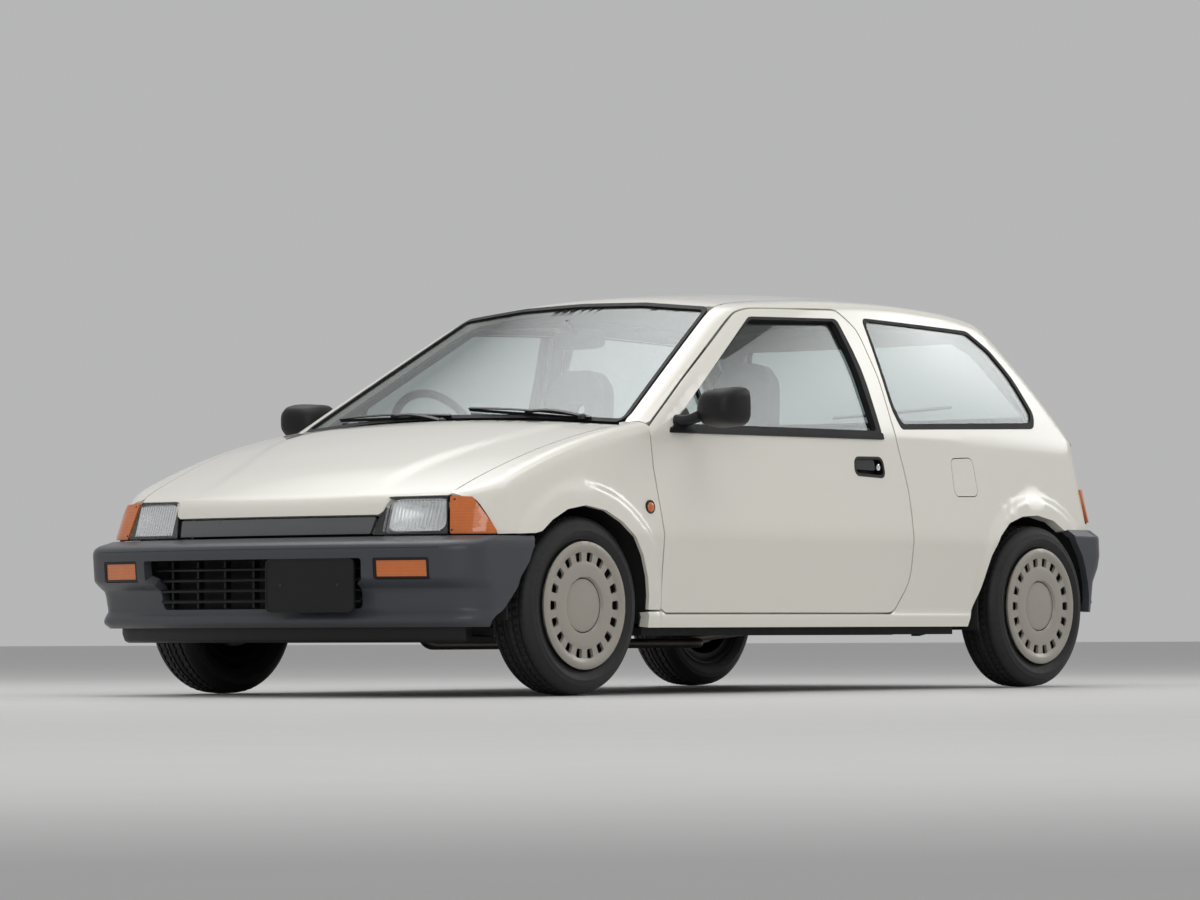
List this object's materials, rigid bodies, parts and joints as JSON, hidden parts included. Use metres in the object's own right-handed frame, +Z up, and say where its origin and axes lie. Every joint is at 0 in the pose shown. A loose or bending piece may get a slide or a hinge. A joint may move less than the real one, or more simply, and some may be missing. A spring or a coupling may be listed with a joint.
{
  "type": "compact three-door hatchback car",
  "caption": "Small three-door hatchback with opening doors, hood, tailgate and fuel door, steering front wheels and rolling wheels with vented covers.",
  "frame": {"origin": "on the ground under the middle of the car's overall box", "axes": "+X forward, +Y to the car's left, +Z up"},
  "size_m": [3.56, 1.88, 1.304],
  "materials": {
    "paint": "warm white gloss body paint",
    "underbody": "dark primer and underseal",
    "grey_trim": "smooth dark grey trim",
    "lamp_glass": "clear fluted lamp glass",
    "bumper_plastic": "graphite grey moulded bumper",
    "black_plastic": "black moulded plastic",
    "amber_lens": "amber ribbed lens",
    "red_lens": "red and amber ribbed lens",
    "cast_metal": "plain cast metal",
    "window_glass": "green-grey tinted glass",
    "chassis_steel": "black painted steel",
    "exhaust_metal": "dull steel",
    "interior_plastic": "grained dark grey plastic",
    "seat_cloth": "grey woven seat cloth",
    "tyre": "black tyre rubber",
    "wheel_cover": "warm grey wheel cover"
  },
  "bodies": {
    "root": {"body_side_left": "paint", "body_side_right": "paint", "roof_panel": "paint", "rear_panel": "paint", "floor_pan": "underbody", "firewall": "underbody", "front_fender_left": "paint", "front_fender_right": "paint", "grille_strip": "grey_trim", "headlights": "lamp_glass", "front_bumper": "bumper_plastic", "rear_bumper": "bumper_plastic", "grille_slats": "black_plastic", "front_plate": "black_plastic", "turn_lamps": "amber_lens", "tail_lamps": "red_lens", "front_structure": "underbody", "engine_block": "cast_metal", "fixed_glass": "window_glass", "front_suspension": "chassis_steel", "rear_axle_beam": "chassis_steel", "fuel_tank": "chassis_steel", "exhaust_system": "exhaust_metal", "dashboard": "interior_plastic", "front_seats": "seat_cloth", "rear_seat": "seat_cloth"},
    "steering_wheel": {"steering_wheel": "black_plastic"},
    "hood": {"hood": "paint"},
    "door_left": {"door_left": "paint", "door_glass_left": "window_glass", "door_mirror_left": "black_plastic"},
    "door_right": {"door_right": "paint", "door_glass_right": "window_glass", "door_mirror_right": "black_plastic"},
    "tailgate": {"tailgate": "paint", "rear_window": "window_glass"},
    "fuel_door": {"fuel_door": "paint"},
    "knuckle_left": {"knuckle_left": "chassis_steel"},
    "knuckle_right": {"knuckle_right": "chassis_steel"},
    "front_wheel_left": {"tyre_front_left": "tyre", "wheel_front_left": "wheel_cover"},
    "front_wheel_right": {"tyre_front_right": "tyre", "wheel_front_right": "wheel_cover"},
    "rear_wheel_left": {"tyre_rear_left": "tyre", "wheel_rear_left": "wheel_cover"},
    "rear_wheel_right": {"tyre_rear_right": "tyre", "wheel_rear_right": "wheel_cover"}
  },
  "joints": [
    {"name": "steer_left", "type": "hinge", "parent": "root", "child": "knuckle_left", "pos_m": [1.11, 0.64, 0.27], "axis": [0, 0, 1], "range_deg": [-32, 32]},
    {"name": "steer_right", "type": "hinge", "parent": "root", "child": "knuckle_right", "pos_m": [1.11, -0.64, 0.27], "axis": [0, 0, 1], "range_deg": [-32, 32]},
    {"name": "steering_wheel_turn", "type": "hinge", "parent": "root", "child": "steering_wheel", "pos_m": [0.48, -0.345, 0.792], "axis": [-0.9135, 0, 0.4067], "range_deg": [-520, 520]},
    {"name": "front_wheel_left_spin", "type": "hinge", "parent": "knuckle_left", "child": "front_wheel_left", "pos_m": [1.11, 0.702, 0.27], "axis": [0, 1, 0], "continuous": true},
    {"name": "front_wheel_right_spin", "type": "hinge", "parent": "knuckle_right", "child": "front_wheel_right", "pos_m": [1.11, -0.702, 0.27], "axis": [0, 1, 0], "continuous": true},
    {"name": "rear_wheel_left_spin", "type": "hinge", "parent": "root", "child": "rear_wheel_left", "pos_m": [-1.29, 0.702, 0.27], "axis": [0, 1, 0], "continuous": true},
    {"name": "rear_wheel_right_spin", "type": "hinge", "parent": "root", "child": "rear_wheel_right", "pos_m": [-1.29, -0.702, 0.27], "axis": [0, 1, 0], "continuous": true},
    {"name": "door_left_hinge", "type": "hinge", "parent": "root", "child": "door_left", "pos_m": [0.712, 0.796, 0.55], "axis": [0, 0, -1], "range_deg": [0, 66]},
    {"name": "door_right_hinge", "type": "hinge", "parent": "root", "child": "door_right", "pos_m": [0.712, -0.796, 0.55], "axis": [0, 0, 1], "range_deg": [0, 66]},
    {"name": "hood_hinge", "type": "hinge", "parent": "root", "child": "hood", "pos_m": [0.902, 0, 0.848], "axis": [0, -1, 0], "range_deg": [0, 50]},
    {"name": "tailgate_hinge", "type": "hinge", "parent": "root", "child": "tailgate", "pos_m": [-1.176, 0, 1.276], "axis": [0, 1, 0], "range_deg": [0, 78]},
    {"name": "fuel_door_hinge", "type": "hinge", "parent": "root", "child": "fuel_door", "pos_m": [-0.8235, 0.79, 0.69], "axis": [0, 0, -1], "range_deg": [0, 100]}
  ],
  "couplings": [
    {"joint": "steer_right", "follows": "steer_left", "ratio": 1},
    {"joint": "steering_wheel_turn", "follows": "steer_left", "ratio": 16}
  ]
}
